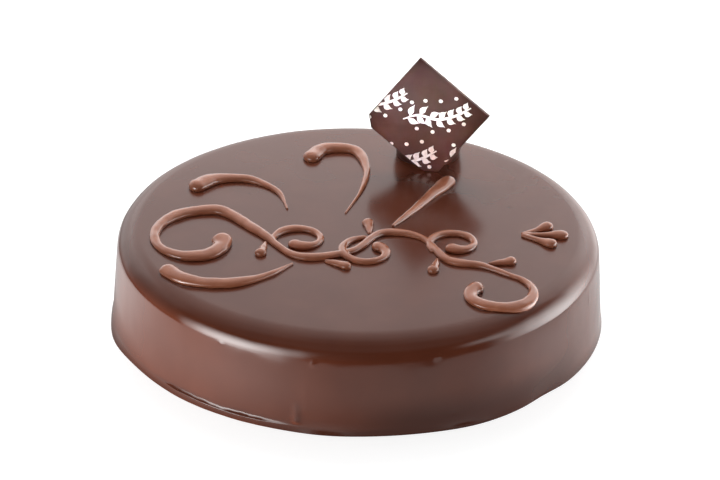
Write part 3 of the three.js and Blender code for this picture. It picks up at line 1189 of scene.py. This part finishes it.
@dataclass(frozen=True)
class Plaque:
    """A square of dark chocolate on its corner, with white printed sprigs.

    Its own axes run across, up and out of the face, from the corner it stands on. The chip takes
    chip_skew times as much of the lower side as of the upper one. Rims are depths and insets of
    the soft rim, as shares of the bevel, and sprigs are places and turns.
    """

    cake: GlazedTorte
    side: float = 41.4
    thickness: float = 2.2
    tip: Spot = (33.2, 54.5)
    sunk: float = 3.5
    yaw: float = -9.5
    lean: float = 4.0
    roll: float = 7.5
    chip: float = 2.9
    chip_skew: float = 1.15
    bevel: float = 0.22
    rims: Keys = ((0.0, 1.0), (0.3, 0.3), (1.0, 0.0), (2.2, 0.0))
    sharp: float = 35.0
    step: float = 0.8
    outline_noise: Layers = ((2.1, 4.4, 0.07),)
    outline_inset: float = 0.021
    side_noise: Layers = ((1.1, 8.0, 0.04),)
    print_step: float = 0.35
    print_rings: int = 6
    print_relief: float = 0.05
    print_margin: float = 0.25
    sprigs: tuple[tuple[Spot, float], ...] = (
        ((1.5, 31.0), -6.0),
        ((-28.0, 35.5), -6.0),
        ((-13.5, 8.5), -6.0),
        ((21.5, 12.0), -6.0),
    )

    def place(self) -> Matrix:
        """Stands the plaque on its corner and leans it back.

        Returns:
            The matrix from the plaque's own axes to the frame, in millimetres.
        """
        swing = Matrix.Rotation(math.radians(self.yaw), 4, "Z")
        upright = Matrix.Rotation(math.radians(90 - self.lean), 4, "X")
        tip = Vector((*self.tip, self.cake.height - self.sunk)) + Vector(self.cake.axis)
        return Matrix.Translation(tip) @ swing @ upright

    def corners(self) -> np.ndarray:
        """The plaque's corners.

        Returns:
            Flat points from the tip round to the broken left corner.
        """
        half, chip = self.side / math.sqrt(2), self.chip
        low_chip = self.chip_skew * chip
        whole = [(0, 0), (half, half), (0, 2 * half)]
        broken = [(chip - half, half + chip), (low_chip - half, half - low_chip)]
        return turned(np.array(whole + broken), self.roll)

    def outline(self) -> np.ndarray:
        """The plaque's slightly ragged outline.

        Returns:
            Flat points, counted round the face.
        """
        corners = self.corners()
        points = []
        for start, end in zip(corners, np.roll(corners, -1, axis=0)):
            count = max(2, round(float(np.linalg.norm(end - start)) / self.step))
            points += [start + (end - start) * i / count for i in range(count)]
        line = np.array(points)
        ragged = soft_noise(np.column_stack([line, np.zeros(len(line))]), self.outline_noise)
        return line + away_from(corners.mean(0), line) * (ragged - self.outline_inset)[:, None]

    def _placed(self, name: str, skin: Skin) -> bpy.types.Object:
        """Puts a skin in place.

        Args:
            name: name of its object.
            skin: the skin, in the plaque's own axes.

        Returns:
            The mesh object.
        """
        place = self.place()
        piece = mesh_object(name, np.array([place @ Vector(point) for point in skin[0]]), skin[1])
        piece.data.set_sharp_from_angle(angle=math.radians(self.sharp))
        return piece

    def slab(self) -> bpy.types.Object:
        """The plaque itself, with its rims softened and its cut sides a little rough.

        Returns:
            The slab.
        """
        line = self.outline()
        out = away_from(line.mean(0), line)
        depths = [(depth * self.bevel, inset * self.bevel) for depth, inset in self.rims]
        depths += [(self.thickness - depth, inset) for depth, inset in reversed(depths)]
        rings = []
        for depth, inset in depths:
            level = np.full(len(line), -depth)
            layers = self.side_noise if 0.0 < depth < self.thickness else ()
            inward = inset + soft_noise(np.column_stack([line, level]), layers)
            rings.append(np.column_stack([line - out * inward[:, None], level]))
        around = len(line)
        faces = [tuple(reversed(face)) for face in ring_faces(len(rings), around)]
        last = (len(rings) - 1) * around
        faces += [tuple(range(around)), tuple(reversed(range(last, last + around)))]
        return self._placed("plaque_slab", (np.concatenate(rings), faces))

    def _ribbon(self, stroke: Stroke, shift: Spot, turn: float) -> Skin:
        """A thin ribbon of print along a stroke.

        Args:
            stroke: the stroke, in the motif's own axes.
            shift: how far the motif is moved on the face.
            turn: how far it is turned.

        Returns:
            The ribbon's closed skin.
        """
        route = stroke.route
        travel = np.linspace(0, route.length, max(self.print_rings, round(route.length / self.print_step)))
        width = eased_keys(stroke.widths, travel / route.length)
        side = left_of(route.along(travel)) * (width / 2)[:, None]
        corners = []
        for across, up in ((1, 1), (-1, 1), (-1, -1), (1, -1)):
            flat = turned(route.at(travel) + across * side, turn) + shift
            corners.append(np.column_stack([flat, np.full(len(flat), up * self.print_relief)]))
        rings = np.stack(corners, 1)
        return closed_rings(rings, rings[0].mean(0), rings[-1].mean(0))

    def _cut(self, piece: bpy.types.Object) -> None:
        """Cuts print off at the plaque's sides.

        Args:
            piece: the print, in place.
        """
        place = self.place()
        corners = self.corners()
        mesh = bmesh.new()
        mesh.from_mesh(piece.data)
        for start, end in zip(corners, np.roll(corners, -1, axis=0)):
            side = Vector((*(end - start), 0)).normalized()
            out = Vector((side.y, -side.x, 0))
            bmesh.ops.bisect_plane(
                mesh,
                geom=[*mesh.verts, *mesh.edges, *mesh.faces],
                plane_co=place @ (Vector((*start, 0)) - out * self.print_margin) * MM,
                plane_no=place.to_3x3() @ out,
                clear_outer=True,
            )
        mesh.to_mesh(piece.data)
        mesh.free()

    def printed(self) -> bpy.types.Object:
        """The white print: a sprig in the middle and parts of its neighbours at the rims.

        Returns:
            The print, as one piece.
        """
        strokes = Sprig().strokes()
        ribbons = [self._ribbon(stroke, *sprig) for sprig in self.sprigs for stroke in strokes]
        piece = self._placed("white_sprigs", joined(ribbons))
        self._cut(piece)
        return piece

    def dress(self) -> None:
        """Builds the plaque in the place of its node, and its print."""
        dress(self.slab(), TEMPERED.material(), "dark_chocolate", "plaque")
        dress(self.printed(), WhitePrint().material(), "")


# ---- The truffle ----


@dataclass(frozen=True)
class Truffle:
    """A dipped chocolate ball, set down just behind the plaque.

    Its swirl is a low wave that winds up between two spans of angles above its middle, and its
    foot flares over foot_rise. These angles are in radians.
    """

    cake: GlazedTorte
    plaque: Plaque
    radius: float = 15.7
    centre_height: float = 8.0
    along: float = -4.9
    clearance: float = 0.3
    swirl: float = 0.22
    swirl_waves: int = 3
    swirl_slant: float = 7.0
    swirl_start: Span = (0.2, 0.9)
    swirl_end: Span = (1.2, 1.5)
    lumps: Layers = ((9.0, 2.1, 0.28), (3.0, 6.3, 0.08))
    foot: float = 0.9
    foot_rise: float = 0.22
    bedded: float = 0.2
    dimple: float = 0.3
    rows: int = 70
    sectors: int = 140

    def centre(self) -> np.ndarray:
        """Where the ball is, just clear of the plaque's back face.

        Returns:
            Its centre, in millimetres.
        """
        place = self.plaque.place()
        face = place.to_3x3() @ Vector((0, 0, 1))
        tip = place.translation
        flat = math.hypot(face.x, face.y)
        behind = self.plaque.thickness + self.clearance + self.radius
        level = self.cake.height + self.centre_height
        back = (behind + face.z * (level - tip.z)) / flat
        spot = np.array([tip.x, tip.y]) + heading(self.plaque.yaw) * self.along
        return np.array([*(spot - np.array([face.x, face.y]) / flat * back), level])

    def build(self) -> bpy.types.Object:
        """Builds the ball, with a melted foot and the soft marks of dipping.

        Returns:
            The truffle.
        """
        lowest = -math.asin(self.centre_height / self.radius)
        rises = np.linspace(lowest, math.pi / 2, self.rows)[:-1]
        spins = np.linspace(-math.pi, math.pi, self.sectors, endpoint=False)
        rise, spin = np.meshgrid(rises, spins, indexing="ij")
        cos, sin = np.cos(spin), np.sin(spin)
        ways = np.stack([np.cos(rise) * cos, np.cos(rise) * sin, np.sin(rise)], -1)
        swirl = self.swirl * np.sin(self.swirl_waves * spin + self.swirl_slant * rise)
        swirl = swirl * smoothstep(*self.swirl_start, rise) * (1 - smoothstep(*self.swirl_end, rise))
        reach = self.radius + swirl + soft_noise(ways * self.radius, self.lumps)
        skin = ways * reach[..., None]
        foot = self.foot * (1 - smoothstep(lowest, lowest + self.foot_rise, rise))
        skin[..., 0] += foot * cos
        skin[..., 1] += foot * sin
        bottom = np.array([0.0, 0.0, -self.centre_height - self.bedded])
        skin[0, :, 2] = bottom[2]
        points, faces = closed_rings(skin, bottom, np.array([0.0, 0.0, self.radius - self.dimple]))
        return mesh_object("dipped_truffle", points + self.centre(), faces)

    def dress(self) -> None:
        """Builds the truffle and puts it in the place of its node."""
        dress(self.build(), SHADED_DIPPED.material(), "dark_chocolate", "truffle")


# ---- Studio ----


class SeenBy(Enum):
    """Which rays meet a piece of the stage."""

    CAMERA = ("camera",)
    ALL_LIGHT = ("diffuse", "glossy")
    MIRRORS = ("glossy",)
    MATT = ("diffuse",)

    def apply(self, piece: bpy.types.Object) -> None:
        """Shows a piece of the stage to its own rays, and hides it from all other rays.

        Args:
            piece: a panel, a lamp or a floor.
        """
        for ray in ("camera", "diffuse", "glossy", "transmission", "shadow"):
            setattr(piece, f"visible_{ray}", ray in self.value)


@dataclass(frozen=True)
class Panel:
    """A soft light panel, bent round the cake like the side of a light tent.

    Turns are azimuths, from straight behind the cake to the right. Fades are the soft shares of
    the panel at its left, right, lower and upper edge. A slant moves the lower end of its left
    edge back by that angle and the upper end on.
    """

    name: str
    distance: float
    turns: Span
    heights: Span
    radiance: float
    fades: tuple[float, float, float, float] = (0.5, 0.5, 0.5, 0.5)
    seen_by: SeenBy = SeenBy.ALL_LIGHT
    slant: float = 0.0
    columns: int = 24
    chart: str = "panel"

    def build(self) -> None:
        """Builds the panel, which adds light and hides nothing."""
        width = self.columns + 1
        points = []
        for height, shift in zip(self.heights, (-self.slant, self.slant)):
            turns = np.linspace(self.turns[0] + shift, self.turns[1], width)
            points += [(*(self.distance * heading(90 - turn)), height) for turn in turns]
        faces = [(i, i + 1, width + i + 1, width + i) for i in range(self.columns)]
        piece = mesh_object(self.name, np.array(points), faces)
        chart = piece.data.uv_layers.new(name=self.chart)
        for loop in piece.data.loops:
            row, column = divmod(loop.vertex_index, width)
            chart.data[loop.index].uv = (column / self.columns, row)
        piece.data.materials.append(self._material())
        self.seen_by.apply(piece)

    def _material(self) -> bpy.types.Material:
        """Makes light that eases off towards the panel's edges.

        Returns:
            The Blender material.
        """
        shader = Shader(bpy.data.materials.new(self.name))
        chart = shader.node("ShaderNodeUVMap", {"uv_map": self.chart})
        u, v = shader.part(chart, "X"), shader.part(chart, "Y")
        left, right, low, high = self.fades
        light = u.eased(0, left) * (1 - u).eased(0, right) * v.eased(0, low) * (1 - v).eased(0, high)
        return shader.glowing(shader.node("ShaderNodeBsdfTransparent"), light * self.radiance)


@dataclass(frozen=True)
class Lamp:
    """A square soft lamp that lights matt surfaces and shows in no mirror image.

    Its azimuth is counted from straight behind the cake to the right, its power is in watts, its
    size and its distance from the point it is aimed at are in millimetres, and its beam is the
    angle over which it spreads.
    """

    name: str
    azimuth: float
    elevation: float
    power: float
    color: Color = (1.0, 1.0, 1.0)
    size: float = 500.0
    distance: float = 900.0
    beam: float = 180.0
    aim: tuple[float, float, float] = (0.0, 0.0, 0.0)

    def build(self) -> None:
        """Builds the lamp, aimed at its point."""
        data = bpy.data.lights.new(self.name, "AREA")
        data.size = self.size * MM
        data.spread = math.radians(self.beam)
        data.energy = self.power
        data.color = self.color
        level, up = heading(self.elevation)
        way = Vector((*(level * heading(90 - self.azimuth)), up))
        piece = bpy.data.objects.new(self.name, data)
        piece.location = (Vector(self.aim) + way * self.distance) * MM
        piece.rotation_euler = way.to_track_quat("Z", "Y").to_euler()
        bpy.context.scene.collection.objects.link(piece)
        SeenBy.MATT.apply(piece)


@dataclass(frozen=True)
class Glow:
    """A round patch of a floor that is brighter than the rest.

    It is a painted pool of light. It comes in over a distance of painted_shade_reach from the cake's foot,
    which paints shade there.
    """

    centre: Spot
    radius: float
    radiance: float
    painted_shade_reach: float = 1.0


@dataclass(frozen=True)
class Floor:
    """A round pale floor that is matt and glows.

    One with glows is also darker beside the cake: its own light eases from the first to the second
    share in shade while the distance from the axis grows from the foot to shade_end times as much.
    """

    name: str
    radius: float
    level: float
    radiance: float
    albedo: float
    seen_by: SeenBy
    glows: tuple[Glow, ...] = ()
    shade: Span = (0.4, 1.05)
    shade_end: float = 1.44
    sides: int = 96

    def build(self, foot: float) -> None:
        """Builds the floor.

        Args:
            foot: radius of the cake's foot.
        """
        spins = np.linspace(0, 360, self.sides, endpoint=False)
        rim = [(*(self.radius * heading(spin)), self.level) for spin in spins]
        piece = mesh_object(self.name, np.array(rim), [range(self.sides)])
        shader = Shader(bpy.data.materials.new(self.name))
        color = rgba((self.albedo, self.albedo, self.albedo))
        matt = shader.node("ShaderNodeBsdfDiffuse", None, {"Color": color})
        strength = self._uneven(shader, foot) if self.glows else self.radiance
        piece.data.materials.append(shader.glowing(matt, strength))
        self.seen_by.apply(piece)

    def _uneven(self, shader: Shader, foot: float) -> Socket:
        """The floor's light: painted shade beside the cake, with its painted pools of light.

        Args:
            shader: the floor's node tree.
            foot: radius of the cake's foot.

        Returns:
            The strength of the light.
        """
        reach = (1 / MM) * shader.vector("LENGTH", shader.place())
        total = self.radiance * reach.eased(foot, self.shade_end * foot, self.shade)
        for glow in self.glows:
            far = (1 / MM) * shader.vector("DISTANCE", shader.place(), Vector((*glow.centre, 0)) * MM)
            # painted shade: each pool of light fades out towards the cake's foot
            near = reach.eased(foot, foot + glow.painted_shade_reach)
            total = total + near * far.eased(0, glow.radius, (glow.radiance, 0))
        return total


@dataclass(frozen=True)
class Studio:
    """Pale floor, soft light and the camera.

    Aim says how far the middle of the view lies to the right of and above a point on the cake's
    axis, and how high that point is. The dome is brightest behind the cake, at dome_tilt
    above the horizon.
    """

    cake: GlazedTorte
    tilt: float = 27.496
    roll: float = 1.169
    distance: float = 1400.0
    focal_length: float = 156.28
    sensor_width: float = 36.0
    sight: float = 50000.0
    aim: tuple[float, float, float] = (1.029, 13.884, 20.0)
    dome_tilt: float = 44.0
    dome_facing: Span = (0.2, 1.0)
    dome_radiance: float = 0.88
    dome_least: float = 0.025
    floors: tuple[Floor, ...] = (
        Floor("floor", 6000.0, 0.0, 0.8, 0.4, SeenBy.CAMERA),
        Floor("table", 188.0, -0.3, 0.78, 0.0, SeenBy.MIRRORS, (
            Glow((-98, -118), 98, 1.0, 9),
            Glow((-160, -20), 105, 0.85, 13),
            Glow((127, -65), 84, 0.87),
            Glow((140, 12), 75, 0.45),
        )),
    )
    panels: tuple[Panel, ...] = (
        Panel("backdrop", 330, (-78, 70), (-60, 275), 0.4, (0.12, 0.06, 0.25, 0.12)),
        Panel("back_glow", 329, (-60, 62), (90, 200), 0.5, (0.2, 0.2, 0.3, 0.5)),
        Panel("left_wing", 335, (-108, -34), (-60, 300), 0.2, (0.2, 0.3, 0.2, 0.2)),
        Panel("right_wing", 335, (14, 82), (-60, 520), 0.72, (0.4, 0.1, 0.3, 0.2)),
        Panel(
            "left_softbox", 500, (-166, -99), (-205, 200), 13.4, (0.5, 0.41, 0.4, 0.55),
            SeenBy.MIRRORS, -6.0,
        ),
        Panel("right_softbox", 500, (50, 130), (-300, 330), 7.4, seen_by=SeenBy.MIRRORS),
        Panel("right_tail", 505, (104, 144), (30, 220), 2.0, seen_by=SeenBy.MIRRORS),
        Panel("right_fill", 500, (12, 104), (-290, 130), 1.2, (0.3, 0.3, 0.5, 0.5), SeenBy.MIRRORS),
        Panel("front_veil", 510, (92, 268), (180, 1500), 0.17, (0.1, 0.1, 0.12, 0.3), SeenBy.MIRRORS),
    )
    lamps: tuple[Lamp, ...] = (
        Lamp("rear_lamp", 0, 48, 6.2),
        Lamp("left_lamp", -103, -50, 29.0, (1.0, 0.97, 0.9)),
        Lamp("left_fill", -88, 17, 1.7),
        Lamp("right_lamp", 74, -8, 12.9),
        Lamp("front_lamp", -172, 6, 5.0),
        Lamp("plaque_lamp", -170, 10, 0.0145, size=40.0, beam=3.4, aim=(29.0, 52.0, 71.5)),
    )

    def camera(self) -> None:
        """Sets up the camera, which looks down on the cake through a long lens."""
        down = Matrix.Rotation(math.radians(90 - self.tilt), 4, "X")
        turn = down @ Matrix.Rotation(math.radians(self.roll), 4, "Z")
        right, above, height = self.aim
        eye = Vector(self.cake.axis) + Vector((0, 0, height)) + turn @ Vector((right, above, self.distance))
        data = bpy.data.cameras.new("camera")
        data.sensor_width = self.sensor_width
        data.lens = self.focal_length
        data.clip_end = self.sight * MM
        camera = bpy.data.objects.new("camera", data)
        camera.matrix_world = Matrix.Translation(eye * MM) @ turn
        bpy.context.scene.collection.objects.link(camera)
        bpy.context.scene.camera = camera

    def world(self) -> None:
        """Sets up a soft dome of light behind and above, and plain white for the camera."""
        world = bpy.data.worlds.new("studio")
        bpy.context.scene.world = world
        shader = Shader(world)
        way = shader.node("ShaderNodeTexCoord", output="Generated")
        behind, above = heading(self.dome_tilt)
        facing = shader.vector("DOT_PRODUCT", way, (0.0, behind, above))
        strength = facing.eased(*self.dome_facing) * self.dome_radiance + self.dome_least
        white = rgba((1.0, 1.0, 1.0))
        dome = shader.node("ShaderNodeBackground", None, {"Color": white, "Strength": strength})
        plain = shader.node("ShaderNodeBackground", None, {"Color": white, "Strength": 1.0})
        seen = shader.node("ShaderNodeLightPath", output="Is Camera Ray")
        shader.surface(shader.node("ShaderNodeMixShader", None, {0: seen, 1: dome, 2: plain}))

    def build(self) -> None:
        """Sets up the whole studio."""
        bpy.context.scene.view_settings.view_transform = "Standard"
        self.camera()
        self.world()
        for floor in self.floors:
            floor.build(self.cake.base_radius)
        for light in (*self.panels, *self.lamps):
            light.build()


# ---- Assembly ----


def main() -> None:
    """Builds the torte, piece by piece, and its studio."""
    logging.basicConfig(level=logging.INFO, format="%(name)s: %(message)s")
    cake = GlazedTorte()
    log.info("axis %s, flat radius %.2f", cake.axis, cake.flat_radius)
    Studio(cake).build()
    cake.dress()
    Scrollwork(cake).dress()
    plaque = Plaque(cake)
    plaque.dress()
    Truffle(cake, plaque).dress()


if __name__ == "__main__":
    main()
